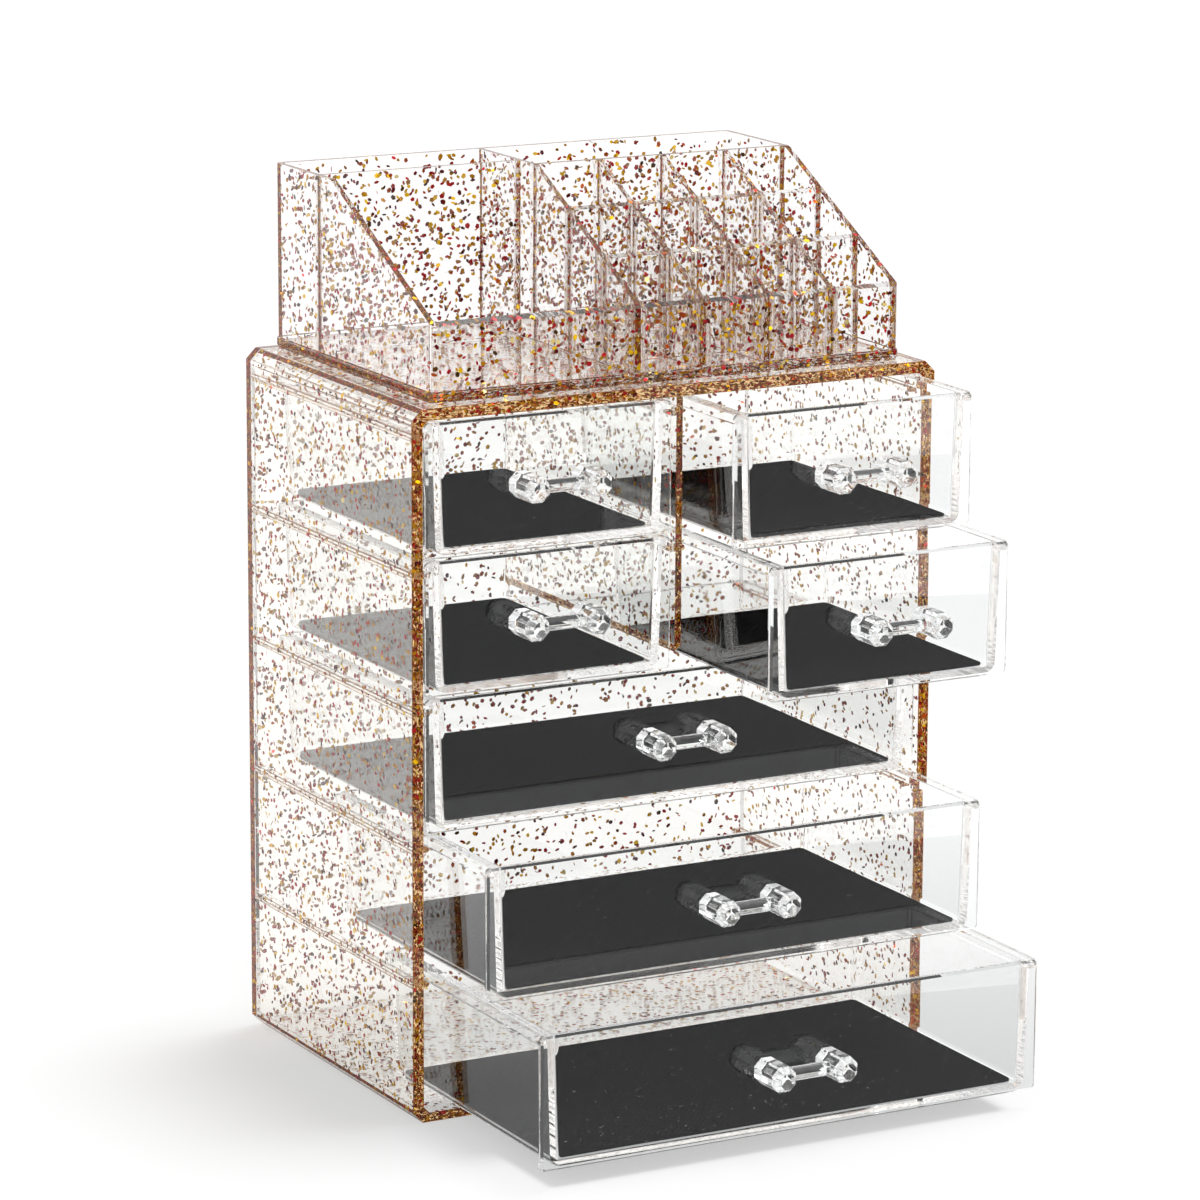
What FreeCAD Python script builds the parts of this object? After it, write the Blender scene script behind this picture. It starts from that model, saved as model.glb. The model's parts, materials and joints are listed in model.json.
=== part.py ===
import FreeCAD, Part
import math
import os

# Acrylic makeup organiser: a glued case with seven drawers hung on side rails,
# and a loose moulded top organiser standing on the case.
#
# Frame: millimetres, +Z up, the drawers open towards -Y, +X is the right-hand side
# seen from the front.  The origin is the centre of the case's underside.

V = FreeCAD.Vector

# ---------------------------------------------------------------- driving sizes
# Case
CASE_WIDTH = 240.0
CASE_DEPTH = 153.0           # front edge of the sleeve to the outside of the back panel
WALL = 5.0                   # side walls and top
BASE = 4.0                   # bottom wall
BACK_PANEL = 5.0
OUTER_CHAMFER = 4.5          # on the four long edges
INNER_CHAMFER = 2.5

# Rows of drawers
ROW_COUNT = 5
SPLIT_ROWS = 2               # upper rows, each with a left and a right drawer
PANEL_HEIGHT = 54.6
ROW_GAP = 1.2                # between the fronts of two rows
TOP_GAP = 1.2                # above the first front
FLOOR_GAP = 4.0              # below the last front
SIDE_GAP = 1.6               # beside every front

# Rails and running fit
RUN_GAP = 0.3                # lip above rail, and front behind the rails' ends
RAIL_HEIGHT = 3.0
RAIL_PROJECTION = 4.3

# Centre divider
DIVIDER = 3.0
DIVIDER_RISE = 5.8           # foot above the lower edge of the last split row's fronts
DIVIDER_TOE = 1.0            # foot standing out to the left
DIVIDER_SLANT = 3.6          # height of the slanted lower end
V_RAIL_HEIGHT = 4.0
V_RAIL_PROJECTION = 3.2
V_RAIL_BLUNT = 0.4           # half height of the blunted tip

# Drawer moulding
FRONT_RECESS = 0.3           # closed front behind the case's front edge
PANEL = 2.8
PANEL_CORNER = 2.2
PANEL_EDGE = 0.9
REAR_CLEARANCE = 13.7        # behind a closed tub, to the back panel
LIP = 3.8                    # thickness of the hanging lip
LIP_WIDTH = 3.2              # stands out from the tub's side at the top
LIP_CORNER = 2.6
DRAFT_INSET = 1.6            # extra inset of the tub's sides at the bottom
TUB_RISE = 1.0               # tub's underside above the front's lower edge
TUB_WALL = 3.2
TUB_FLOOR = 2.6
TUB_ROUND = 4.5              # rear corners and lower edges, outside
CAVITY_ROUND = 1.8           # corners inside
LINER = 1.5
LINER_MARGIN = 1.5           # between the mat and the tub's walls
LINER_CORNER = 1.2           # cut corners of the mat

# Handle: two cut gem posts joined by a bar
POST_ACROSS = 10.6           # across the flats of the octagon
POST_LENGTH = 18.6
POST_SPACING = 28.0
POST_BACK = 8.8              # across the flats where it is glued on
POST_BACK_BEVEL = 1.0
CROWN_MIDDLE = 9.2
CROWN_MIDDLE_DEPTH = 1.6
CROWN_TABLE = 6.4
CROWN_DEPTH = 3.4
BAR_ACROSS = 5.4
BAR_STANDOFF = 10.2          # bar's axis in front of the drawer's front

# Top organiser
TRAY_SIDE_MARGIN = 12.8      # inside the case's sides
TRAY_SETBACK = 8.2           # its front behind the case's front edge
TRAY_REAR_MARGIN = 2.8       # its rear in front of the case's rear
TRAY_BACK_HEIGHT = 76.7
TRAY_FRONT_HEIGHT = 30.6
TRAY_KNEE = 52.2             # level length of the side's top edge, from the rear
TRAY_KNEE_ROUND = 9.0
TRAY_CORNER = 2.6
TRAY_WALL = 2.8              # at the floor; the draft thins it towards the top
TRAY_DRAFT = 0.28            # each face, over the full height
TRAY_FLOOR = 3.4
FOOT_FLARE = 0.7
FOOT_HEIGHT = 4.6
FOOT_LOWER_BEVEL = 1.2
FOOT_UPPER_BEVEL = 0.6
CELL_WIDTH = 29.8            # pitch of the small cells, along X
CELL_DEPTH = 30.1            # pitch of the small cells, along Y
CELL_COLUMNS = 4
CELL_ROWS = 3
REAR_SLOT_DEPTH = 37.0       # pitch of the slot behind the large left compartment, along Y
CELL_ROUND = 1.8             # corners

# How far each drawer stands open
OPENINGS = {
    "drawer_1_left": 0.0,
    "drawer_1_right": 40.0,
    "drawer_2_left": 0.0,
    "drawer_2_right": 69.5,
    "drawer_3": 0.0,
    "drawer_4": 52.5,
    "drawer_5": 97.5,
}

# ---------------------------------------------------------------- derived places
FRONT_Y = -CASE_DEPTH / 2
BACK_Y = CASE_DEPTH / 2
SLEEVE_BACK_Y = BACK_Y - BACK_PANEL
ROW_PITCH = PANEL_HEIGHT + ROW_GAP
CASE_HEIGHT = BASE + FLOOR_GAP + ROW_COUNT * ROW_PITCH - ROW_GAP + TOP_GAP + WALL
INNER_X = CASE_WIDTH / 2 - WALL
CEILING_Z = CASE_HEIGHT - WALL

PANEL_FRONT_Y = FRONT_Y + FRONT_RECESS
PANEL_BACK_Y = PANEL_FRONT_Y + PANEL
TUB_BACK_Y = SLEEVE_BACK_Y - REAR_CLEARANCE
RAIL_FRONT_Y = PANEL_BACK_Y + RUN_GAP

TRAY_HALF_WIDTH = CASE_WIDTH / 2 - TRAY_SIDE_MARGIN
TRAY_FRONT_Y = FRONT_Y + TRAY_SETBACK
TRAY_BACK_Y = BACK_Y - TRAY_REAR_MARGIN

OVERLAP = 0.5                # how deep fused features reach into each other
FULL_TURN = 2 * math.pi


def panel_top(row):
    """Height of the upper edge of the fronts in a row, counted from 1 at the top."""
    return CEILING_Z - TOP_GAP - (row - 1) * ROW_PITCH


def lip_underside(row):
    return panel_top(row) - LIP


# ---------------------------------------------------------------- small helpers
def closed_loop(corners, radii):
    """Wire through the corners, each rounded by its own radius (0 leaves it sharp)."""
    count = len(corners)
    arcs = []
    for i, corner in enumerate(corners):
        before = (corners[i - 1] - corner).normalize()
        after = (corners[(i + 1) % count] - corner).normalize()
        if radii[i] <= 0:
            arcs.append((corner, None, corner))
            continue
        half = before.getAngle(after) / 2
        tangent = radii[i] / math.tan(half)
        inward = (before + after).normalize()
        middle = corner + inward * (radii[i] / math.sin(half) - radii[i])
        arcs.append((corner + before * tangent, middle, corner + after * tangent))
    edges = []
    for i, (start, middle, end) in enumerate(arcs):
        if middle is not None:
            edges.append(Part.Arc(start, middle, end).toShape())
        following = arcs[(i + 1) % count][0]
        edges.append(Part.LineSegment(end, following).toShape())
    return Part.Wire(edges)


def prism(corners, radii, along):
    return Part.Face(closed_loop(corners, radii)).extrude(along)


def inset(span, amount):
    return (span[0] + amount, span[1] - amount)


def plan_corners(x, y, z):
    return [V(x[0], y[0], z), V(x[1], y[0], z), V(x[1], y[1], z), V(x[0], y[1], z)]


def flat_sided(rings):
    """Solid with flat faces through a stack of rings that have the same number of corners."""
    faces = [rings[0][::-1], rings[-1]]
    for ring, following in zip(rings, rings[1:]):
        for i in range(len(ring)):
            faces.append([ring[i - 1], ring[i], following[i], following[i - 1]])
    shell = Part.Shell([Part.Face(Part.makePolygon(face + face[:1])) for face in faces])
    shell.sewShape()
    return Part.Solid(shell)


def tapered_block(low, high):
    """Flat-sided solid between two plan rectangles, each given as (x span, y span, z)."""
    return flat_sided([plan_corners(*low), plan_corners(*high)])


def upright_edges(solid, beyond_y=-math.inf):
    """Edges that climb, as far as they lie behind a given y."""
    def climbs(edge):
        start, end = edge.Vertexes[0], edge.Vertexes[-1]
        return abs(start.Z - end.Z) > 1.0 and min(start.Y, end.Y) > beyond_y
    return [edge for edge in solid.Edges if climbs(edge)]


def edges_at_height(solid, z, tolerance=1e-4):
    """Edges that lie in the horizontal plane at z."""
    def flat(edge):
        return all(abs(vertex.Z - z) < tolerance for vertex in edge.Vertexes)
    return [edge for edge in solid.Edges if flat(edge)]


def moulded_hollow(low, high, corner):
    """Drafted hollow with rounded corners."""
    hollow = tapered_block(low, high)
    return hollow.makeFillet(corner, upright_edges(hollow))


def octagon(across_flats, y, centre_x=0.0, centre_z=0.0):
    """Corners of an upright octagon that stands on a flat side."""
    radius = across_flats / 2 / math.cos(math.pi / 8)
    corners = []
    for i in range(8):
        angle = FULL_TURN * (i + 0.5) / 8
        corners.append(V(centre_x + radius * math.cos(angle), y, centre_z + radius * math.sin(angle)))
    return corners


def save(name, shape):
    shape.exportStep(os.path.join("parts", name + ".step"))


# ---------------------------------------------------------------- case
def case_section(half_width, bottom, top, chamfer):
    """Rectangle across the case with its four corners cut at 45 degrees, at the front edge."""
    corners = []
    for sx, sz in ((1, -1), (1, 1), (-1, 1), (-1, -1)):
        z = top if sz > 0 else bottom
        beside = V(sx * half_width, FRONT_Y, z - sz * chamfer)
        below = V(sx * (half_width - chamfer), FRONT_Y, z)
        corners += [beside, below] if sx == sz else [below, beside]
    return corners


def outer_section_prism(y_from, y_to):
    corners = case_section(CASE_WIDTH / 2, 0, CASE_HEIGHT, OUTER_CHAMFER)
    block = prism(corners, [0] * len(corners), V(0, y_to - y_from, 0))
    block.translate(V(0, y_from - FRONT_Y, 0))
    return block


def wall_rail(side, row):
    """Round-nosed rail on a side wall; its front end stops the closed front."""
    top = lip_underside(row) - RUN_GAP
    bottom = top - RAIL_HEIGHT
    nose = RAIL_HEIGHT / 2
    root_x = side * (INNER_X + OVERLAP)
    tip_x = side * (INNER_X - RAIL_PROJECTION)
    bend_x = side * (INNER_X - RAIL_PROJECTION + nose)
    y = RAIL_FRONT_Y
    outline = [
        Part.LineSegment(V(root_x, y, bottom), V(bend_x, y, bottom)).toShape(),
        Part.Arc(V(bend_x, y, bottom), V(tip_x, y, bottom + nose), V(bend_x, y, top)).toShape(),
        Part.LineSegment(V(bend_x, y, top), V(root_x, y, top)).toShape(),
        Part.LineSegment(V(root_x, y, top), V(root_x, y, bottom)).toShape(),
    ]
    return Part.Face(Part.Wire(outline)).extrude(V(0, SLEEVE_BACK_Y - y, 0))


def case_sleeve():
    """Four-walled sleeve, open at the front and rear, with the wall rails moulded in."""
    shell = outer_section_prism(FRONT_Y, SLEEVE_BACK_Y)
    opening = case_section(INNER_X, BASE, CEILING_Z, INNER_CHAMFER)
    shell = shell.cut(prism(opening, [0] * len(opening), V(0, CASE_DEPTH, 0)))
    rails = [wall_rail(side, row) for side in (-1, 1) for row in range(1, ROW_COUNT + 1)]
    return shell.fuse(rails).removeSplitter()


def back_panel():
    return outer_section_prism(SLEEVE_BACK_Y, BACK_Y)


def v_rail(side, row):
    """V-shaped rail on the divider, its slope 0.3 mm under the lip's edge."""
    half = V_RAIL_HEIGHT / 2
    half_at_lip = half - (half - V_RAIL_BLUNT) * SIDE_GAP / V_RAIL_PROJECTION
    centre = lip_underside(row) - RUN_GAP - half_at_lip
    face_x = side * (DIVIDER / 2)
    root_x = side * (DIVIDER / 2 - OVERLAP)
    tip_x = side * (DIVIDER / 2 + V_RAIL_PROJECTION)
    corners = [V(root_x, RAIL_FRONT_Y, centre - half),
               V(face_x, RAIL_FRONT_Y, centre - half),
               V(tip_x, RAIL_FRONT_Y, centre - V_RAIL_BLUNT),
               V(tip_x, RAIL_FRONT_Y, centre + V_RAIL_BLUNT),
               V(face_x, RAIL_FRONT_Y, centre + half),
               V(root_x, RAIL_FRONT_Y, centre + half)]
    return prism(corners, [0] * len(corners), V(0, SLEEVE_BACK_Y - RAIL_FRONT_Y, 0))


def centre_divider():
    """Plate hung from the top between the split rows, with a slanted foot."""
    half = DIVIDER / 2
    foot_z = panel_top(SPLIT_ROWS) - PANEL_HEIGHT + DIVIDER_RISE
    corners = [V(half, FRONT_Y, CEILING_Z),
               V(-half, FRONT_Y, CEILING_Z),
               V(-half, FRONT_Y, foot_z + DIVIDER_TOE),
               V(-half - DIVIDER_TOE, FRONT_Y, foot_z),
               V(half, FRONT_Y, foot_z + DIVIDER_SLANT)]
    plate = prism(corners, [0] * len(corners), V(0, SLEEVE_BACK_Y - FRONT_Y, 0))
    rails = [v_rail(side, row) for side in (-1, 1) for row in range(1, SPLIT_ROWS + 1)]
    return plate.fuse(rails).removeSplitter()


# ---------------------------------------------------------------- drawers
def drawer_places():
    """Name, row and x span of every drawer, from the top down."""
    split = DIVIDER / 2 + SIDE_GAP
    edge = INNER_X - SIDE_GAP
    places = []
    for row in range(1, ROW_COUNT + 1):
        if row <= SPLIT_ROWS:
            places.append(("drawer_%d_left" % row, row, (-edge, -split)))
            places.append(("drawer_%d_right" % row, row, (split, edge)))
        else:
            places.append(("drawer_%d" % row, row, (-edge, edge)))
    return places


def front_panel(x, top):
    """Front with rounded corners and a bevelled front edge."""
    bottom = top - PANEL_HEIGHT
    corners = [V(x[0], PANEL_FRONT_Y, bottom), V(x[1], PANEL_FRONT_Y, bottom),
               V(x[1], PANEL_FRONT_Y, top), V(x[0], PANEL_FRONT_Y, top)]
    panel = prism(corners, [PANEL_CORNER] * 4, V(0, PANEL, 0))
    rim = [edge for edge in panel.Edges
           if all(abs(vertex.Y - PANEL_FRONT_Y) < 1e-4 for vertex in edge.Vertexes)]
    return panel.makeChamfer(PANEL_EDGE, rim)


def hanging_lip(x, side, top):
    """Flange along one side of the tub, flush with the front's upper edge."""
    outer = x[0] if side < 0 else x[1]
    inner = outer - side * (LIP_WIDTH + TUB_WALL / 2)
    start = PANEL_BACK_Y - OVERLAP
    corners = [V(inner, start, top - LIP), V(outer, start, top - LIP),
               V(outer, TUB_BACK_Y - LIP_CORNER, top - LIP), V(inner, TUB_BACK_Y - LIP_CORNER, top - LIP)]
    return prism(corners, [0, 0, LIP_CORNER, 0], V(0, 0, LIP))


def drawer_tub(x, top):
    """One moulding: front, tapered tub and the two lips that hang on the rails."""
    bottom = top - PANEL_HEIGHT + TUB_RISE
    start = PANEL_BACK_Y - OVERLAP
    high = (inset(x, LIP_WIDTH), (start, TUB_BACK_Y), top)
    low = (inset(x, LIP_WIDTH + DRAFT_INSET), (start, TUB_BACK_Y - DRAFT_INSET), bottom)
    tub = tapered_block(low, high)
    underside = [edge for edge in edges_at_height(tub, bottom)
                 if max(vertex.Y for vertex in edge.Vertexes) > start + OVERLAP]
    tub = tub.makeFillet(TUB_ROUND, underside + upright_edges(tub, start + OVERLAP))
    tub = tub.fuse([front_panel(x, top), hanging_lip(x, -1, top), hanging_lip(x, 1, top)])
    return tub.cut(drawer_cavity(x, top)).removeSplitter()


def drawer_cavity(x, top):
    """The hollow of a tub, cut a little past its rim."""
    floor = top - PANEL_HEIGHT + TUB_RISE + TUB_FLOOR
    slope = DRAFT_INSET / (PANEL_HEIGHT - TUB_RISE)
    rim = top + OVERLAP
    rim_inset = LIP_WIDTH + TUB_WALL - slope * OVERLAP
    floor_inset = LIP_WIDTH + TUB_WALL + slope * (top - floor)
    high = (inset(x, rim_inset), (PANEL_BACK_Y, TUB_BACK_Y - (rim_inset - LIP_WIDTH)), rim)
    low = (inset(x, floor_inset), (PANEL_BACK_Y, TUB_BACK_Y - (floor_inset - LIP_WIDTH)), floor)
    return moulded_hollow(low, high, CAVITY_ROUND)


def drawer_liner(x, top):
    """Mat lying on the floor of a tub, its corners cut to clear the tub's rounded ones."""
    floor = top - PANEL_HEIGHT + TUB_RISE + TUB_FLOOR
    slope = DRAFT_INSET / (PANEL_HEIGHT - TUB_RISE)
    floor_inset = LIP_WIDTH + TUB_WALL + slope * (top - floor)
    span_x = inset(x, floor_inset + LINER_MARGIN)
    span_y = inset((PANEL_BACK_Y, TUB_BACK_Y - (floor_inset - LIP_WIDTH)), LINER_MARGIN)
    mat = prism(plan_corners(span_x, span_y, floor), [0] * 4, V(0, 0, LINER))
    return mat.makeChamfer(LINER_CORNER, upright_edges(mat))


def gem_post(centre_x, centre_z):
    """Octagonal post with a bevelled back and a two-step faceted crown, glued on at its back."""
    crown_start = POST_LENGTH - CROWN_DEPTH
    sections = [(0.0, POST_BACK), (POST_BACK_BEVEL, POST_ACROSS), (crown_start, POST_ACROSS),
                (crown_start + CROWN_MIDDLE_DEPTH, CROWN_MIDDLE), (POST_LENGTH, CROWN_TABLE)]
    return flat_sided([octagon(across, PANEL_FRONT_Y - standoff, centre_x, centre_z)
                       for standoff, across in sections])


def drawer_handle(x, top):
    """Two gem posts joined by an octagonal bar."""
    centre_x = (x[0] + x[1]) / 2
    centre_z = top - PANEL_HEIGHT / 2
    posts = [gem_post(centre_x + side * POST_SPACING / 2, centre_z) for side in (-1, 1)]
    bar = prism(octagon(BAR_ACROSS, 0), [0] * 8, V(0, POST_SPACING, 0))
    bar.rotate(V(0, 0, 0), V(0, 0, 1), -90)
    bar.translate(V(centre_x - POST_SPACING / 2, PANEL_FRONT_Y - BAR_STANDOFF, centre_z))
    return posts[0].fuse([posts[1], bar]).removeSplitter()


# ---------------------------------------------------------------- top organiser
def tray_profile(x):
    """Side outline of the top organiser at x: level at the rear, sloping down to the front."""
    corners = [V(x, TRAY_FRONT_Y, CASE_HEIGHT), V(x, TRAY_BACK_Y, CASE_HEIGHT),
               V(x, TRAY_BACK_Y, CASE_HEIGHT + TRAY_BACK_HEIGHT),
               V(x, TRAY_BACK_Y - TRAY_KNEE, CASE_HEIGHT + TRAY_BACK_HEIGHT),
               V(x, TRAY_FRONT_Y, CASE_HEIGHT + TRAY_FRONT_HEIGHT)]
    return corners, [0, 0, 0, TRAY_KNEE_ROUND, 0]


def tray_body():
    """Solid outside form: the side outline, rounded upright corners and a flared foot."""
    x = (-TRAY_HALF_WIDTH, TRAY_HALF_WIDTH)
    y = (TRAY_FRONT_Y, TRAY_BACK_Y)
    corners, radii = tray_profile(-TRAY_HALF_WIDTH)
    outline = prism(corners, radii, V(2 * TRAY_HALF_WIDTH, 0, 0))
    upright = prism(plan_corners(x, y, CASE_HEIGHT), [TRAY_CORNER] * 4, V(0, 0, TRAY_BACK_HEIGHT))
    flare = plan_corners(inset(x, -FOOT_FLARE), inset(y, -FOOT_FLARE), CASE_HEIGHT)
    foot = prism(flare, [TRAY_CORNER + FOOT_FLARE] * 4, V(0, 0, FOOT_HEIGHT))
    foot = foot.makeChamfer(FOOT_LOWER_BEVEL, edges_at_height(foot, CASE_HEIGHT))
    foot = foot.makeChamfer(FOOT_UPPER_BEVEL, edges_at_height(foot, CASE_HEIGHT + FOOT_HEIGHT))
    return outline.common(upright).fuse(foot)


def tray_cells():
    """Plan of every compartment as (x span, y span) between the middles of its walls."""
    right = TRAY_HALF_WIDTH - TRAY_WALL / 2
    front, rear = inset((TRAY_FRONT_Y, TRAY_BACK_Y), TRAY_WALL / 2)
    split = right - CELL_COLUMNS * CELL_WIDTH
    grid_rear = front + CELL_ROWS * CELL_DEPTH
    large_rear = rear - REAR_SLOT_DEPTH
    cells = [((-right, split), (front, large_rear)),
             ((-right, split), (large_rear, rear)),
             ((split, right), (grid_rear, rear))]
    for row in range(CELL_ROWS):
        for column in range(CELL_COLUMNS):
            x0 = split + column * CELL_WIDTH
            y0 = front + row * CELL_DEPTH
            cells.append(((x0, x0 + CELL_WIDTH), (y0, y0 + CELL_DEPTH)))
    return cells


def tray_hollow(x, y):
    """One compartment, with drafted walls and rounded corners."""
    floor = CASE_HEIGHT + TRAY_FLOOR
    top = CASE_HEIGHT + TRAY_BACK_HEIGHT + OVERLAP
    at_floor = TRAY_WALL / 2
    at_top = at_floor - TRAY_DRAFT
    low = (inset(x, at_floor), inset(y, at_floor), floor)
    high = (inset(x, at_top), inset(y, at_top), top)
    return moulded_hollow(low, high, CELL_ROUND)


def top_organiser():
    hollows = [tray_hollow(x, y) for x, y in tray_cells()]
    return tray_body().cut(hollows).removeSplitter()


# ---------------------------------------------------------------- build
def main():
    os.makedirs("parts", exist_ok=True)
    save("case_sleeve", case_sleeve())
    save("back_panel", back_panel())
    save("centre_divider", centre_divider())
    for name, row, x in drawer_places():
        top = panel_top(row)
        pieces = {"tub": drawer_tub(x, top), "liner": drawer_liner(x, top), "handle": drawer_handle(x, top)}
        for piece, shape in pieces.items():
            shape.translate(V(0, -OPENINGS[name], 0))
            save(name + "_" + piece, shape)
    save("top_organiser", top_organiser())


main()
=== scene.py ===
# %% [markdown]
# # A clear acrylic makeup organiser
# The organiser is a glued case of flecked acrylic, seven clear drawers that hang on rails inside it,
# and a loose flecked tray that stands on top. Nearly all of it is see-through, so the work is less in
# the outlines, which the CAD frame already holds, than in three things: smooth shells that bend light
# as solid acrylic does, thousands of foil flakes buried inside the walls, and black net mats.

# %% Load the CAD frame
import json
import math
import random

import bmesh
import bpy
from mathutils import Matrix, Vector, noise
from mathutils.bvhtree import BVHTree

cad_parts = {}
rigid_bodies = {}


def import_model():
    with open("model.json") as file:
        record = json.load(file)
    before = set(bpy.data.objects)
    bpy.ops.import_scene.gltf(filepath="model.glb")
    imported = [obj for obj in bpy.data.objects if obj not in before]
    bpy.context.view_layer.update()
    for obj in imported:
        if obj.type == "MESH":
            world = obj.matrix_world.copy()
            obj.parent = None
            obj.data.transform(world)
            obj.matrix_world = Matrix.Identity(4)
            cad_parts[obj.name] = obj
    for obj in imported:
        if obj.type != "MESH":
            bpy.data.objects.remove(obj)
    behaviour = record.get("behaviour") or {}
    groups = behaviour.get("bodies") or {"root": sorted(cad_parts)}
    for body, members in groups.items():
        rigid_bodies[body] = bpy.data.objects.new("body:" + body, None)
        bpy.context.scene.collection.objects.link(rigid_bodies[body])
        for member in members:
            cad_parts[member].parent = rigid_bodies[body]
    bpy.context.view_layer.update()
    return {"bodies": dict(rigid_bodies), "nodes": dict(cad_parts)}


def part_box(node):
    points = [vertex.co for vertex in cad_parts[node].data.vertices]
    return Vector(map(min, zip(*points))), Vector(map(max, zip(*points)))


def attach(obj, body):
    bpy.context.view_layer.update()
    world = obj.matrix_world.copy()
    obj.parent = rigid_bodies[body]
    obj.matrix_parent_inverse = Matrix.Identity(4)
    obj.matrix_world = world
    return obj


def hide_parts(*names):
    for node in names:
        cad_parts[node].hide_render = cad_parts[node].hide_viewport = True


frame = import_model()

MM = 0.001

# %% [markdown]
# ## Names of the drawers
# Every drawer has a tub, a mat and a handle in the frame, each named after its drawer. The drawers'
# names are read from the frame's bodies, so nothing here repeats the CAD's numbers.

# %% Drawer names
DRAWERS = sorted(name for name in frame["bodies"] if name.startswith("drawer_"))
case_low, case_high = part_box("case_sleeve")
print("drawers:", DRAWERS)
print("case, mm:", [round(size / MM, 1) for size in case_high - case_low])

# %% [markdown]
# ## Colour
# Colours are written as sRGB hex values, the way a paint card gives them. Shaders count in linear
# light, where half as bright really is half the number, so one function turns the first into the second.

# %% Helper for colour
def linear(hex_colour):
    """Linear RGBA for an sRGB hex colour such as '#C8A24A'."""
    channels = [int(hex_colour[i:i + 2], 16) / 255 for i in (1, 3, 5)]
    return [c / 12.92 if c <= 0.04045 else ((c + 0.055) / 1.055) ** 2.4 for c in channels] + [1.0]


print("mid grey is", [round(c, 3) for c in linear("#808080")])

# %% [markdown]
# ## Nodes
# A material is a small network of nodes. It could be wired by hand in the editor. Here one function adds
# any node with its settings and links, which keeps each material short enough to read as a recipe.

# %% Helpers for nodes
def add_node(tree, kind, settings=None, inputs=None):
    """Adds a node. inputs maps a socket's name or number to a value or to another node's output."""
    node = tree.nodes.new(kind)
    for name, value in (settings or {}).items():
        setattr(node, name, value)
    for name, value in (inputs or {}).items():
        if isinstance(value, bpy.types.NodeSocket):
            tree.links.new(value, node.inputs[name])
        else:
            node.inputs[name].default_value = value
    return node


def new_material(name):
    """A material and its empty node tree."""
    material = bpy.data.materials.new(name)
    material.use_nodes = True
    tree = material.node_tree
    tree.nodes.clear()
    return material, tree


def finish_material(tree, shader):
    add_node(tree, "ShaderNodeOutputMaterial", inputs={"Surface": shader})


print("helpers ready:", add_node.__name__, new_material.__name__, finish_material.__name__)

# %% [markdown]
# ## Clear acrylic
# Acrylic (PMMA) has an index of refraction of 1.49, and a polished surface is almost free of haze. A
# Principled shader with full transmission bends and mirrors light as the real sheet does. The sheet is
# never perfectly flat: a very faint long wave in its surface, some 25 mm from crest to crest, makes
# reflections wander, and handling leaves the gloss slightly uneven.
#
# A 5 mm wall looks clear through its face, but light that runs along the sheet and leaves by its edge
# has gone through many centimetres of plastic and flake dust, and comes out golden brown. Volume
# absorption gives exactly that: next to nothing across the sheet and a deep colour along it.
#
# Glass stops the rays that a renderer sends towards a lamp, so everything inside would turn dark. The
# usual cure is to let those rays, and rays on their way from matt surfaces, pass a plain tinted
# Transparent shader instead.

# %% Acrylic shader
ACRYLIC_IOR = 1.49
WAVE_PITCH_MM = 25.0
WAVE_HEIGHT_MM = 0.004
HANDLED_FROM, HANDLED_TO = 0.4, 0.8      # the part of the wave over which the gloss wears off


def acrylic(name, tint, shade, rough, depth_tint=None, depth_per_metre=0.0):
    """Solid see-through acrylic. tint colours what is seen through it, shade what a lamp sends through."""
    material, tree = new_material(name)
    place = add_node(tree, "ShaderNodeTexCoord").outputs["Object"]
    wave = add_node(tree, "ShaderNodeTexNoise", inputs={
        "Vector": place, "Scale": 1 / (WAVE_PITCH_MM * MM), "Detail": 0.0})
    bump = add_node(tree, "ShaderNodeBump", inputs={
        "Height": wave.outputs["Fac"], "Distance": WAVE_HEIGHT_MM * MM, "Strength": 1.0})
    handling = add_node(tree, "ShaderNodeMapRange", inputs={
        "Value": wave.outputs["Fac"], "From Min": HANDLED_FROM, "From Max": HANDLED_TO,
        "To Min": 0.0, "To Max": rough})
    solid = add_node(tree, "ShaderNodeBsdfPrincipled", inputs={
        "Base Color": linear(tint), "IOR": ACRYLIC_IOR, "Transmission Weight": 1.0,
        "Roughness": handling.outputs["Result"], "Normal": bump.outputs["Normal"]})
    open_to_lamps = add_node(tree, "ShaderNodeBsdfTransparent", inputs={"Color": linear(shade)})
    path = add_node(tree, "ShaderNodeLightPath")
    lamp_ray = add_node(tree, "ShaderNodeMath", {"operation": "MAXIMUM"}, {
        0: path.outputs["Is Shadow Ray"], 1: path.outputs["Is Diffuse Ray"]})
    mix = add_node(tree, "ShaderNodeMixShader", inputs={
        0: lamp_ray.outputs[0], 1: solid.outputs["BSDF"], 2: open_to_lamps.outputs["BSDF"]})
    finish_material(tree, mix.outputs["Shader"])
    if depth_tint:
        depth = add_node(tree, "ShaderNodeVolumeAbsorption", inputs={
            "Color": linear(depth_tint), "Density": depth_per_metre})
        tree.links.new(depth.outputs["Volume"], tree.nodes["Material Output"].inputs["Volume"])
    return material


print("acrylic bends light with an index of", ACRYLIC_IOR)

# %% [markdown]
# ## Four acrylics
# The parts differ in how they are made. One clear material for all would lose the colour of the edges,
# so each process gets its own: what it is seen through, what a lamp leaves of itself on the way
# through, how dull handling makes it, and the colour and strength of its depth.

# %% Acrylics of the case, the tray, the tubs and the handles
# Injection moulded: colourless even through its edges, so that the drawers outline themselves in white.
DRAWER_ACRYLIC = acrylic("moulded_clear_acrylic", "#FEFFFF", "#F4F4F4", 0.03)
# Cast with foil dust in it: clear through the face, and deep gold along the edges.
CASE_ACRYLIC = acrylic("cast_flecked_acrylic", "#FFFFFF", "#F0EDEA", 0.02, "#F2CB42", 8.0)
# Moulded with foil dust in it: the same flecks, but a greyer edge.
TRAY_ACRYLIC = acrylic("moulded_flecked_acrylic", "#FFFFFF", "#F0EEEC", 0.03, "#AC9C92", 8.0)
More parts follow.
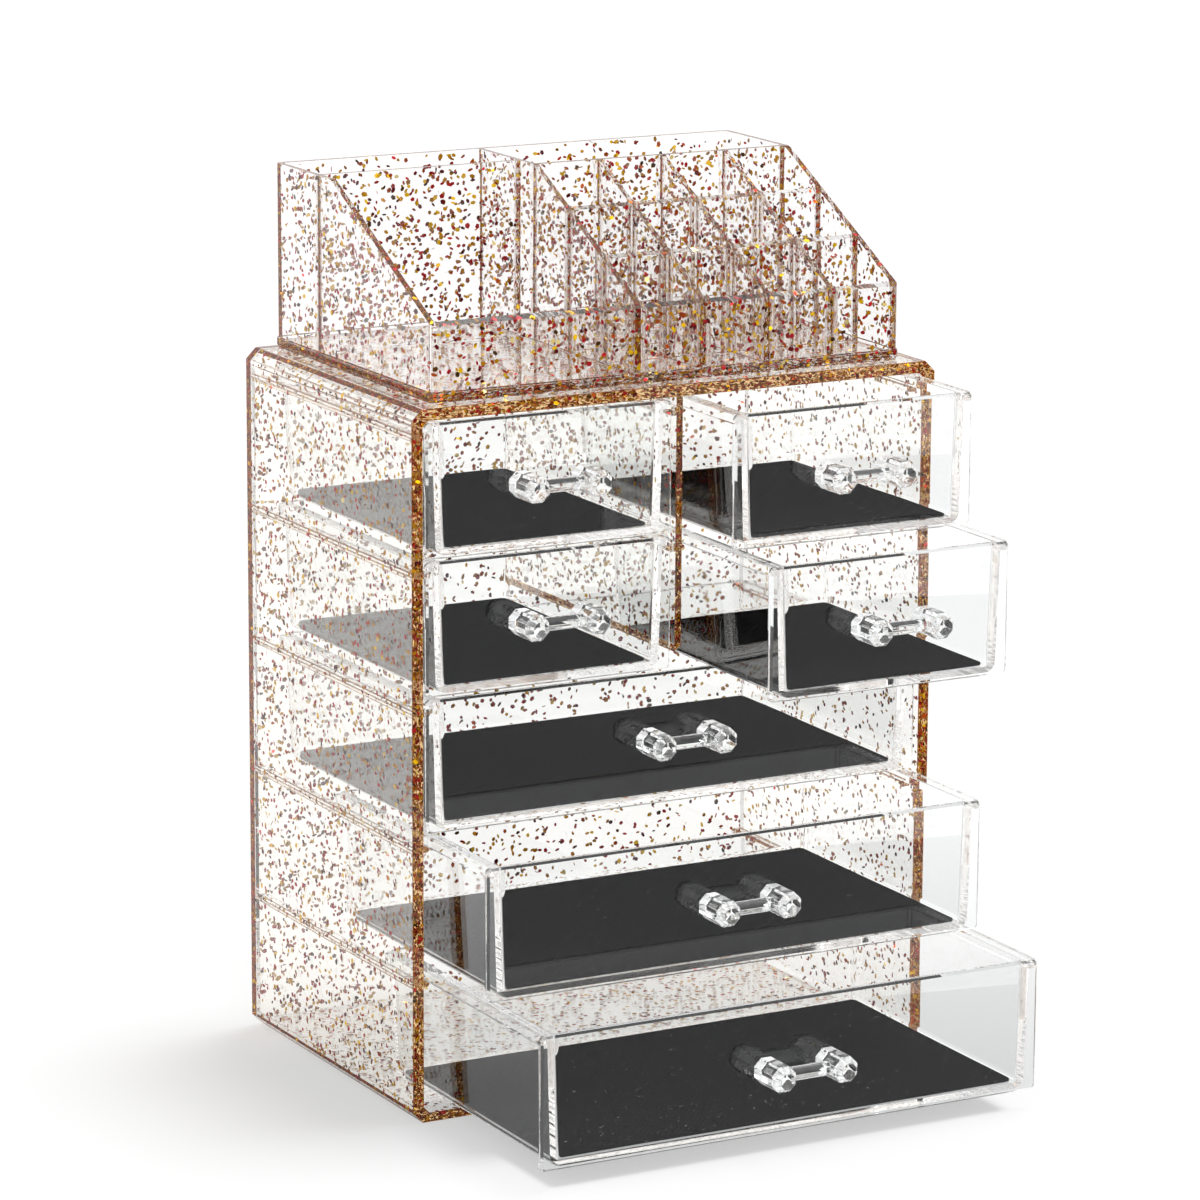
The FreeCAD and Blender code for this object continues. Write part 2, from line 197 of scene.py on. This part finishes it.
# Cut and polished in facets: the clearest and glossiest of the four, so that the gems sparkle.
HANDLE_ACRYLIC = acrylic("cut_clear_acrylic", "#FDFEFE", "#FCFCFC", 0.01)
print("acrylics:", DRAWER_ACRYLIC.name, CASE_ACRYLIC.name, TRAY_ACRYLIC.name, HANDLE_ACRYLIC.name)

# %% [markdown]
# ## Foil
# The flecks are crushed foil: metallised polyester film, broken into uneven plates of one or two
# millimetres and stirred into the acrylic before it sets. The film is lacquered gold, rose or copper on
# bright aluminium, and where a flake lies with its dull side up it reads brown. The two dark foils, maroon
# and umber, are partly that dull side and partly painted shade: darker copies of the rose and the gold that
# stand for flakes in the shade of others. The flecks could be spots in a texture, but spots lie in one
# plane and never catch the light, so they are real plates, and the colours are seven foils, of which every
# plate gets one.

# %% Foil materials
# Each foil: colour, how metallic, roughness, and its share of the mix. The lacquer over the aluminium
# makes it only half a metal to the eye: it glints when it faces a light and keeps its colour when not.
FOILS = {
    "gold_foil": ("#C88C08", 0.5, 0.34, 8),
    "bright_gold_foil": ("#F6C410", 0.6, 0.24, 6),
    "rose_foil": ("#C42428", 0.4, 0.38, 7),
    "copper_foil": ("#BA4E10", 0.5, 0.35, 6),
    # maroon and umber: partly the foil's dull side, partly painted shade for flakes in the shade of others
    "maroon_dull_side_and_painted_shade_foil": ("#6E1014", 0.4, 0.45, 3),
    "umber_dull_side_and_painted_shade_foil": ("#54340C", 0.4, 0.45, 2),
    "pale_gold_foil": ("#EBD48A", 0.7, 0.2, 1),
}


def foil(name, colour, metallic, roughness):
    """Lacquered foil. It lies in acrylic of nearly its lacquer's index, so it adds no gloss of its own."""
    material, tree = new_material(name)
    shader = add_node(tree, "ShaderNodeBsdfPrincipled", inputs={
        "Base Color": linear(colour), "Metallic": metallic, "Roughness": roughness,
        "Specular IOR Level": 0.0})
    finish_material(tree, shader.outputs["BSDF"])
    return material


foil_materials = [foil(name, *values[:3]) for name, values in FOILS.items()]
foil_shares = [values[3] for values in FOILS.values()]
print("foils:", [material.name for material in foil_materials])

# %% [markdown]
# ## Shells from the CAD nodes
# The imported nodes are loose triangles. A copy whose doubles are merged is a closed shell again, on
# which a Bevel modifier can break the sharp edges by a few tenths of a millimetre. That small radius is
# what makes the edge of a real sheet catch the light. Shading is smooth across the rounded corners and
# sharp at every real edge, and weighted normals keep the large faces optically flat.
#
# Where two clear parts touch, as a drawer's lip does on its rail, real parts still have a film of air
# between them. Two shells that share a face have none, and refraction then sees one lump of plastic
# that is dark inside. So every shell is drawn in by a hair, which nobody can see as a size.

# %% Merged copies with broken edges
MERGE_MM = 0.002
FLAT_WITHIN = math.radians(0.5)
SHARP_ANGLE = math.radians(28)
HAIR_OF_AIR_MM = 0.04


def polished_shell(node, material, body, edge_radius_mm):
    """A closed copy of a CAD node with its edges broken, riding on the node's body."""
    bm = bmesh.new()
    bm.from_mesh(frame["nodes"][node].data)
    bmesh.ops.remove_doubles(bm, verts=bm.verts, dist=MERGE_MM * MM)
    bmesh.ops.dissolve_limit(bm, angle_limit=FLAT_WITHIN, verts=bm.verts, edges=bm.edges)
    bm.normal_update()
    for vertex, inward in [(v, -v.normal * v.calc_shell_factor()) for v in bm.verts]:
        vertex.co += inward * HAIR_OF_AIR_MM * MM
    mesh = bpy.data.meshes.new(node + "_shell")
    bm.to_mesh(mesh)
    bm.free()
    mesh.materials.append(material)
    mesh.shade_smooth()
    mesh.set_sharp_from_angle(angle=SHARP_ANGLE)
    shell = bpy.data.objects.new(node + "_shell", mesh)
    bpy.context.scene.collection.objects.link(shell)
    broken_edges = shell.modifiers.new("broken_edges", "BEVEL")
    broken_edges.width = edge_radius_mm * MM
    broken_edges.segments = 2
    broken_edges.limit_method = "ANGLE"
    broken_edges.angle_limit = SHARP_ANGLE
    broken_edges.use_clamp_overlap = True
    flat_normals = shell.modifiers.new("flat_faces_stay_flat", "WEIGHTED_NORMAL")
    flat_normals.mode = "FACE_AREA"
    flat_normals.weight = 100
    flat_normals.keep_sharp = True
    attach(shell, body)
    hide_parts(node)
    print(shell.name, len(mesh.vertices), "vertices")


# %% [markdown]
# ## Case, tray, tubs and handles
# The flame-polished sheets and the moulded tubs have edges broken by about a quarter of a millimetre.
# The cut gems of the handles need crisper edges, or their facets melt into each other, so they get half
# of that.

# %% Shells of all clear parts
SHEET_EDGE_MM = 0.25
GEM_EDGE_MM = 0.12

for node in ("case_sleeve", "back_panel", "centre_divider"):
    polished_shell(node, CASE_ACRYLIC, "case", SHEET_EDGE_MM)
polished_shell("top_organiser", TRAY_ACRYLIC, "top_organiser", SHEET_EDGE_MM)
for drawer in DRAWERS:
    polished_shell(drawer + "_tub", DRAWER_ACRYLIC, drawer, SHEET_EDGE_MM)
    polished_shell(drawer + "_handle", HANDLE_ACRYLIC, drawer, GEM_EDGE_MM)

# %% [markdown]
# ## Is a flake inside the plastic?
# A flake that pokes out of a wall would be a rough spot on a sheet that is smooth to the touch. Twelve
# points round its rim are each compared with the nearest skin of the part, and the flake counts only if
# all of them lie inside and clear of that skin.

# %% Test for a sunk point
FLAKE_CLEARANCE_MM = 0.12
RIM = [Vector((math.cos(math.radians(30 * k)), math.sin(math.radians(30 * k)), 0)) for k in range(12)]


def is_sunk(skin, point):
    """True if a point is inside the plastic and clear of its skin."""
    nearest, normal = skin.find_nearest(point)[:2]
    return (nearest - point).dot(normal) > FLAKE_CLEARANCE_MM * MM


print("a flake is tested at", len(RIM), "points")

# %% [markdown]
# ## Scattering the flakes
# A flake's place is found in two steps: a point on the wall's skin, chosen evenly by area, and then a
# depth below it. Points in the whole volume would need many more tries, because the walls are so thin.
# Most flakes settle flat in the sheet as it sets and the others lie on a slant or stand on edge. The
# draws come from one seeded generator, so the pattern is the same on every run.

# %% Places for the flakes
FLAKE_RADIUS_MM = (0.85, 1.4)
FLAKE_NARROWING = (0.4, 0.9)         # a plate's width over its length
FLAKE_TOP_DEPTH_MM = 0.25
LAID_FLAT_SHARE = 0.72
FLAT_TILT_SPREAD = 0.2               # radians
SLANT_TILT = (0.4, 1.45)             # radians


def flake_places(node, depth_mm, area_each_mm2, draw):
    """Matrices and radii for the flakes in one node: on its skin, then sunk by a random depth."""
    bm = bmesh.new()
    bm.from_mesh(frame["nodes"][node].data)
    bmesh.ops.remove_doubles(bm, verts=bm.verts, dist=MERGE_MM * MM)
    bmesh.ops.triangulate(bm, faces=bm.faces)
    skin = BVHTree.FromBMesh(bm)
    places = []
    owed = 0.0
    for face in bm.faces:
        a, b, c = (vertex.co for vertex in face.verts)
        facing = face.normal.to_track_quat("Z", "Y").to_matrix().to_4x4()
        owed += face.calc_area() / MM ** 2 / area_each_mm2
        while owed >= draw.random():
            owed -= 1.0
            u, v = draw.random(), draw.random()
            if u + v > 1:
                u, v = 1 - u, 1 - v
            radius = draw.uniform(*FLAKE_RADIUS_MM) * MM
            lies_flat = draw.random() < LAID_FLAT_SHARE
            tilt = abs(draw.gauss(0, FLAT_TILT_SPREAD)) if lies_flat else draw.uniform(*SLANT_TILT)
            sunk = face.normal * draw.uniform(FLAKE_TOP_DEPTH_MM, depth_mm) * MM
            point = a + (b - a) * u + (c - a) * v - sunk
            turn = Matrix.Rotation(draw.uniform(0, 2 * math.pi), 4, "Z")
            spin = Matrix.Rotation(draw.uniform(0, 2 * math.pi), 4, "Z")
            lean = Matrix.Rotation(tilt, 4, "X") @ spin
            narrow = Matrix.Scale(draw.uniform(*FLAKE_NARROWING), 4, (1, 0, 0))
            place = Matrix.Translation(point) @ facing @ turn @ lean @ narrow
            if all(is_sunk(skin, place @ (step * radius)) for step in RIM):
                places.append((place, radius))
    bm.free()
    return places


print("flakes are", [2 * radius for radius in FLAKE_RADIUS_MM], "mm long")

# %% [markdown]
# ## Making the flakes
# Each flake is a flat five-cornered prism, squeezed to one side: with 16 triangles it is cheap enough
# to be there by the thousand, and its uneven outline reads as broken foil. All flakes of a part are one
# object, as they are cast in it and move with it. Adding cones to one large bmesh gets slower with each
# one, so they are made in small batches that are joined afterwards.

# %% One object with all the flakes of a part
FLAKE_CORNERS = 5
FLAKE_THICKNESS_MM = 0.06            # real film is thinner still and would flicker in the render
FLAKES_PER_BATCH = 250


def flake_piece(name, node, body, depth_mm, area_each_mm2, draw):
    """One object with all the flakes of a node, each a thin plate of one foil."""
    places = flake_places(node, depth_mm, area_each_mm2, draw)
    whole = bmesh.new()
    batch_mesh = bpy.data.meshes.new("flake_batch")
    for start in range(0, len(places), FLAKES_PER_BATCH):
        batch = bmesh.new()
        for matrix, radius in places[start:start + FLAKES_PER_BATCH]:
            made = bmesh.ops.create_cone(
                batch, cap_ends=True, segments=FLAKE_CORNERS, radius1=radius, radius2=radius,
                depth=FLAKE_THICKNESS_MM * MM, matrix=matrix)
            foil_number = draw.choices(range(len(foil_materials)), foil_shares)[0]
            for face in {f for vertex in made["verts"] for f in vertex.link_faces}:
                face.material_index = foil_number
        batch.to_mesh(batch_mesh)
        batch.free()
        whole.from_mesh(batch_mesh)
    mesh = bpy.data.meshes.new(name)
    whole.to_mesh(mesh)
    whole.free()
    bpy.data.meshes.remove(batch_mesh)
    for material in foil_materials:
        mesh.materials.append(material)
    flakes = bpy.data.objects.new(name, mesh)
    bpy.context.scene.collection.objects.link(flakes)
    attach(flakes, body)
    print(name, len(places), "flakes")


# %% [markdown]
# ## Flakes in the case and the tray
# The depth is half of each part's wall, so that flakes sunk from both skins fill it. The area is the
# patch of skin for each flake that is tried. The tray's thin walls turn more of them away, so it is
# strewn more thickly.

# %% Flakes of the four flecked parts
CASE_AREA_EACH_MM2 = 25.5
TRAY_AREA_EACH_MM2 = 20.0

draw = random.Random(11)
flake_piece("case_sleeve_flakes", "case_sleeve", "case", 2.5, CASE_AREA_EACH_MM2, draw)
flake_piece("back_panel_flakes", "back_panel", "case", 2.5, CASE_AREA_EACH_MM2, draw)
flake_piece("centre_divider_flakes", "centre_divider", "case", 1.5, CASE_AREA_EACH_MM2, draw)
flake_piece("top_organiser_flakes", "top_organiser", "top_organiser", 1.4, TRAY_AREA_EACH_MM2, draw)

# %% [markdown]
# ## Black net
# The mats are foam with a black polyester net on top. The net is knitted from matt threads that cross at
# 45 degrees, so all it gives the eye is a fine relief and the least change from black to nearly black,
# with a speck of lint here and there. The threads could be modelled, but at this distance a bump does
# the same. The real net is finer: its mesh is drawn 2 mm wide, as coarse as it needs to be to show.

# %% Net material
NET_PITCH_MM = 2.0
BAND_PERIOD = 2 * math.pi / 20      # one band of a Wave texture at scale 1
LINT_PITCH_MM = 1.1
NET_RELIEF_MM = 0.25


def net_material():
    """Black polyester net on foam: crossed threads that are a shade lighter than the foam between them."""
    material, tree = new_material("black_polyester_net")
    place = add_node(tree, "ShaderNodeTexCoord").outputs["Object"]
    heights = []
    for side in (1, -1):
        turned = add_node(tree, "ShaderNodeMapping", inputs={
            "Vector": place, "Rotation": (0, 0, side * math.radians(45))})
        bands = add_node(tree, "ShaderNodeTexWave", {"bands_direction": "X"}, {
            "Vector": turned.outputs["Vector"], "Scale": BAND_PERIOD / (NET_PITCH_MM * MM),
            "Distortion": 0.6, "Detail": 0.0})
        heights.append(bands.outputs["Fac"])
    threads = add_node(tree, "ShaderNodeMath", {"operation": "MAXIMUM"}, {0: heights[0], 1: heights[1]})
    lint = add_node(tree, "ShaderNodeTexNoise", inputs={
        "Vector": place, "Scale": 1 / (LINT_PITCH_MM * MM), "Detail": 0.0})
    colour = add_node(tree, "ShaderNodeValToRGB", inputs={"Fac": threads.outputs[0]})
    colour.color_ramp.elements[0].color = linear("#060506")
    colour.color_ramp.elements[1].color = linear("#141214")
    specks = add_node(tree, "ShaderNodeMapRange", inputs={
        "Value": lint.outputs["Fac"], "From Min": 0.80, "From Max": 0.84})
    dusted = add_node(tree, "ShaderNodeMix", {"data_type": "RGBA"}, {
        "Factor": specks.outputs["Result"], "A": colour.outputs["Color"], "B": linear("#8A8688")})
    bump = add_node(tree, "ShaderNodeBump", inputs={
        "Height": threads.outputs[0], "Distance": NET_RELIEF_MM * MM, "Strength": 0.6})
    shader = add_node(tree, "ShaderNodeBsdfPrincipled", inputs={
        "Base Color": dusted.outputs["Result"], "Roughness": 0.95, "Specular IOR Level": 0.0,
        "Normal": bump.outputs["Normal"]})
    finish_material(tree, shader.outputs["BSDF"])
    return material


NET = net_material()
print("mat material:", NET.name)

# %% [markdown]
# ## Net mats
# Each drawer has a loose mat on its floor. It could be a plain slab, but what the eye reads is a thin,
# dead-matt sheet with softly rounded corners that doesn't lie perfectly flat. So each mat starts as a
# fine grid of the size it is cut to, its corners are rounded, it gets a slow swell of a fraction of a
# millimetre, and then its thickness.

# %% Mats
MAT_THICKNESS_MM = 1.1
MAT_LIFT_MM = 0.02                   # keeps it off the face that it lies on
MAT_SWELL_MM = 0.35
SWELLS_PER_METRE = 22                # so a swell is some 45 mm long
SWELL_CHANGE_PER_METRE = 90          # how fast the swell differs from row to row
MAT_CORNER_MM = 2.5
MAT_EDGE_MM = 0.3
MAT_GRID_MM = 6.0
MAT_SHARP_ANGLE = math.radians(40)


def mat_mesh(name, low, high):
    """A cut sheet between two corners of a box: grid, round corners, swell and thickness."""
    width, length = high.x - low.x, high.y - low.y
    bm = bmesh.new()
    bmesh.ops.create_grid(bm, size=0.5, x_segments=round(width / MM / MAT_GRID_MM),
                          y_segments=round(length / MM / MAT_GRID_MM))
    bmesh.ops.scale(bm, vec=(width, length, 1), verts=bm.verts)
    middle = ((low.x + high.x) / 2, (low.y + high.y) / 2, low.z + MAT_LIFT_MM * MM)
    bmesh.ops.translate(bm, vec=middle, verts=bm.verts)
    corners = [v for v in bm.verts if len(v.link_faces) == 1]
    bmesh.ops.bevel(bm, geom=corners, offset=MAT_CORNER_MM * MM, offset_type="OFFSET", affect="VERTICES",
                    segments=4, profile=0.5, material=-1)
    for vertex in bm.verts:
        across, along = vertex.co.x * SWELLS_PER_METRE, vertex.co.y * SWELLS_PER_METRE
        swell = noise.noise(Vector((across, along, low.z * SWELL_CHANGE_PER_METRE)))
        vertex.co.z += max(0.0, swell) * MAT_SWELL_MM * MM
    bmesh.ops.solidify(bm, geom=bm.faces, thickness=-MAT_THICKNESS_MM * MM)
    bmesh.ops.recalc_face_normals(bm, faces=bm.faces)
    mesh = bpy.data.meshes.new(name)
    bm.to_mesh(mesh)
    bm.free()
    mesh.materials.append(NET)
    mesh.shade_smooth()
    mesh.set_sharp_from_angle(angle=MAT_SHARP_ANGLE)
    return mesh


print("mats are", MAT_THICKNESS_MM, "mm thick")

# %% [markdown]
# ## A mat for each drawer
# A mat is as large as its CAD solid, which leaves 1.5 mm between it and the tub's walls, so that it can
# be taken out and shaken. A narrow Bevel softens the cut edge. It stands for the CAD's plain slab, which
# it hides, and lies where the slab lay, on the floor of its tub.

# %% Seven mats
def net_mat(drawer):
    """A loose mat on a drawer's floor, as large as its CAD solid."""
    low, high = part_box(drawer + "_liner")
    mat = bpy.data.objects.new(drawer + "_mat", mat_mesh(drawer + "_mat", low, high))
    bpy.context.scene.collection.objects.link(mat)
    soft_edge = mat.modifiers.new("soft_edge", "BEVEL")
    soft_edge.width = MAT_EDGE_MM * MM
    soft_edge.segments = 2
    soft_edge.limit_method = "ANGLE"
    soft_edge.angle_limit = MAT_SHARP_ANGLE
    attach(mat, drawer)
    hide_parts(drawer + "_liner")


for drawer in DRAWERS:
    net_mat(drawer)

# %% [markdown]
# ## Floor
# The floor is a plain pale matt sheet that keeps the object's shadow. Clear plastic has no colour of its
# own and shows what stands behind and around it, so the floor answers each kind of ray in its own way,
# as the panels and flags of a studio would:
#
# - Seen straight on it is lifted to white, and seen through the acrylic a little more, which makes up
#   for what the walls keep.
# - Mirrored in the walls it is brightest behind the object, where a studio has its lit panel. This is
#   what draws the pale veil over the sides.
# - Mirrored in front of the object it is dim, which keeps the drawers' fronts free of haze.

# %% Floor material
GLOW_SEEN = 0.51
GLOW_SEEN_THROUGH = 0.14             # added to the first
GLOW_REAR_PANEL = 0.1                # added to the first
FRONT_Y, REAR_Y = -0.2, 0.2          # mirrored rays find it dim at the first and bright at the second
WHITE = [1, 1, 1, 1]


def floor_material():
    material, tree = new_material("white_studio_floor")
    path = add_node(tree, "ShaderNodeLightPath")
    place = add_node(tree, "ShaderNodeTexCoord").outputs["Object"]
    depth = add_node(tree, "ShaderNodeSeparateXYZ", inputs={"Vector": place}).outputs["Y"]
    behind = add_node(tree, "ShaderNodeMapRange", inputs={
        "Value": depth, "From Min": FRONT_Y, "From Max": REAR_Y})
    mirrored_behind = add_node(tree, "ShaderNodeMath", {"operation": "MULTIPLY"}, {
        0: path.outputs["Is Glossy Ray"], 1: behind.outputs["Result"]})
    mirrored_in_front = add_node(tree, "ShaderNodeMath", {"operation": "SUBTRACT"}, {
        0: path.outputs["Is Glossy Ray"], 1: mirrored_behind.outputs[0]})
    pale = add_node(tree, "ShaderNodeBsdfDiffuse", inputs={"Color": linear("#B0B0B0")})
    dim = add_node(tree, "ShaderNodeBsdfDiffuse", inputs={"Color": linear("#606060")})
    matt = add_node(tree, "ShaderNodeMixShader", inputs={
        0: mirrored_in_front.outputs[0], 1: pale.outputs[0], 2: dim.outputs[0]})
    direct = add_node(tree, "ShaderNodeMath", {"operation": "MAXIMUM"}, {
        0: path.outputs["Is Camera Ray"], 1: path.outputs["Is Transmission Ray"]})
    seen = add_node(tree, "ShaderNodeMath", {"operation": "MAXIMUM"}, {
        0: direct.outputs[0], 1: mirrored_behind.outputs[0]})
    dark = add_node(tree, "ShaderNodeEmission", inputs={"Color": [0, 0, 0, 1], "Strength": 0.0})
    glow, through, panel = (
        add_node(tree, "ShaderNodeEmission", inputs={"Color": WHITE, "Strength": strength})
        for strength in (GLOW_SEEN, GLOW_SEEN_THROUGH, GLOW_REAR_PANEL))
    lift = add_node(tree, "ShaderNodeMixShader", inputs={
        0: seen.outputs[0], 1: dark.outputs[0], 2: glow.outputs[0]})
    backlit = add_node(tree, "ShaderNodeMixShader", inputs={
        0: path.outputs["Is Transmission Ray"], 1: dark.outputs[0], 2: through.outputs[0]})
    rear_panel = add_node(tree, "ShaderNodeMixShader", inputs={
        0: mirrored_behind.outputs[0], 1: backlit.outputs[0], 2: panel.outputs[0]})
    glowing = add_node(tree, "ShaderNodeAddShader", inputs={0: lift.outputs[0], 1: rear_panel.outputs[0]})
    whole = add_node(tree, "ShaderNodeAddShader", inputs={0: matt.outputs[0], 1: glowing.outputs[0]})
    finish_material(tree, whole.outputs[0])
    return material


FLOOR = floor_material()
print("floor material:", FLOOR.name)

# %% [markdown]
# ## The floor's disc
# A disc twelve metres in radius fills the view from every side. It lies a fifth of a millimetre below
# the object, so that the two never share a face.

# %% Floor
FLOOR_RADIUS = 12.0
FLOOR_BELOW_MM = 0.2

bm = bmesh.new()
bmesh.ops.create_circle(bm, cap_ends=True, segments=96, radius=FLOOR_RADIUS)
bmesh.ops.translate(bm, vec=(0, 0, -FLOOR_BELOW_MM * MM), verts=bm.verts)
floor_mesh = bpy.data.meshes.new("studio_floor")
bm.to_mesh(floor_mesh)
bm.free()
floor_mesh.materials.append(FLOOR)
floor = bpy.data.objects.new("studio_floor", floor_mesh)
bpy.context.scene.collection.objects.link(floor)
print("floor radius, m:", FLOOR_RADIUS)

# %% [markdown]
# ## World
# The surroundings follow the same plan as the floor: white where the camera looks at them, a little
# over white through the acrylic, and a plain fill for matt surfaces. In mirrored rays they are white
# near the horizon and overhead, with a dim band between, from 30 to 46 degrees up: the gap between a
# studio's walls and its softbox. One even white would leave the rounded edges and the gems without the
# dark lines that give them their shape.

# %% World
# Each stop: the sine of the angle above the horizon, and the brightness there.
SKY_STOPS = [(0.0, 1.0), (0.42, 1.0), (0.5, 0.3), (0.72, 0.3), (0.8, 1.0), (1.0, 1.0)]
SKY_SEEN = 1.0
SKY_SEEN_THROUGH = 1.15
SKY_FILL = 0.44


def studio_world():
    world = bpy.data.worlds.new("studio")
    bpy.context.scene.world = world
    world.use_nodes = True
    tree = world.node_tree
    tree.nodes.clear()
    direction = add_node(tree, "ShaderNodeTexCoord").outputs["Generated"]
    height = add_node(tree, "ShaderNodeSeparateXYZ", inputs={"Vector": direction}).outputs["Z"]
    sky = add_node(tree, "ShaderNodeValToRGB", inputs={"Fac": height})
    ramp = sky.color_ramp
    while len(ramp.elements) < len(SKY_STOPS):
        ramp.elements.new(0.5)
    for element, (position, value) in zip(ramp.elements, SKY_STOPS):
        element.position = position
        element.color = (value, value, value, 1.0)
    path = add_node(tree, "ShaderNodeLightPath")
    answer = add_node(tree, "ShaderNodeBackground", inputs={"Color": sky.outputs["Color"], "Strength": 1.0})
    for ray, strength in (("Is Camera Ray", SKY_SEEN), ("Is Transmission Ray", SKY_SEEN_THROUGH),
                          ("Is Diffuse Ray", SKY_FILL)):
        even = add_node(tree, "ShaderNodeBackground", inputs={"Color": WHITE, "Strength": strength})
        answer = add_node(tree, "ShaderNodeMixShader", inputs={
            0: path.outputs[ray], 1: answer.outputs[0], 2: even.outputs[0]})
    add_node(tree, "ShaderNodeOutputWorld", inputs={"Surface": answer.outputs[0]})
    return world


WORLD = studio_world()
print("world:", WORLD.name)

# %% [markdown]
# ## Lamps
# Two suns stand in for large, far softboxes: a broad key from above and behind the right shoulder, which
# throws the soft shadow to the left, and a weak fill from the front for the mats. A wide angle is what
# makes a sun's shadow soft.

# %% Lamps
def distant_softbox(name, direction, width_degrees, strength):
    """A broad, far light that falls evenly on the floor and the object."""
    data = bpy.data.lights.new(name, "SUN")
    data.angle = math.radians(width_degrees)
    data.energy = strength
    lamp = bpy.data.objects.new(name, data)
    lamp.rotation_euler = Vector(direction).to_track_quat("Z", "Y").to_euler()
    bpy.context.scene.collection.objects.link(lamp)
    print(name, "energy", strength)


distant_softbox("key_softbox", (0.26, 0.05, 1.0), 20, 2.3)
distant_softbox("front_fill", (-0.35, -1.0, 0.45), 30, 0.5)

# %% [markdown]
# ## Camera
# The camera looks from the left of the front and a little from above, through a long lens. Its place is
# worked out from two angles and a distance, which are easier to judge than three coordinates.

# %% Camera
CAMERA_AZIMUTH = math.radians(-28.596)
CAMERA_ELEVATION = math.radians(12.934)
CAMERA_ROLL = math.radians(0.303)
CAMERA_DISTANCE = 2.28922
CAMERA_AIM = Vector((0, 0, 0.18))
SIDESTEP_RIGHT, SIDESTEP_UP = 0.00509, 0.00779
FRAME_PIXELS = 1200
FOCAL_PIXELS = 5500.0
SENSOR_MM = 36.0

back = Vector((math.sin(CAMERA_AZIMUTH) * math.cos(CAMERA_ELEVATION),
               -math.cos(CAMERA_AZIMUTH) * math.cos(CAMERA_ELEVATION),
               math.sin(CAMERA_ELEVATION)))
right = Vector((math.cos(CAMERA_AZIMUTH), math.sin(CAMERA_AZIMUTH), 0))
up = back.cross(right)
rolled_right = right * math.cos(CAMERA_ROLL) + up * math.sin(CAMERA_ROLL)
rolled_up = up * math.cos(CAMERA_ROLL) - right * math.sin(CAMERA_ROLL)
turn = Matrix((rolled_right, rolled_up, back)).transposed().to_4x4()
place = CAMERA_AIM + back * CAMERA_DISTANCE + right * SIDESTEP_RIGHT + up * SIDESTEP_UP

camera_data = bpy.data.cameras.new("camera")
camera_data.sensor_width = SENSOR_MM
camera_data.lens = FOCAL_PIXELS / FRAME_PIXELS * SENSOR_MM
camera = bpy.data.objects.new("camera", camera_data)
camera.matrix_world = Matrix.Translation(place) @ turn
bpy.context.scene.collection.objects.link(camera)
bpy.context.scene.camera = camera
print("lens, mm:", round(camera_data.lens, 1))

# %% [markdown]
# ## Long light paths
# A ray that crosses the whole organiser goes through dozens of surfaces of clear plastic, and each one
# counts as a bounce. A ray that runs out of bounces comes back black, so the limits are set high.

# %% Bounces and view
CLEAR_BOUNCES = 80

scene = bpy.context.scene
scene.view_settings.view_transform = "Standard"
scene.cycles.max_bounces = CLEAR_BOUNCES
scene.cycles.transmission_bounces = CLEAR_BOUNCES
scene.cycles.glossy_bounces = CLEAR_BOUNCES
scene.cycles.transparent_max_bounces = 64
scene.cycles.diffuse_bounces = 3
scene.cycles.caustics_refractive = False
scene.cycles.caustics_reflective = False
print("bounces:", scene.cycles.max_bounces)
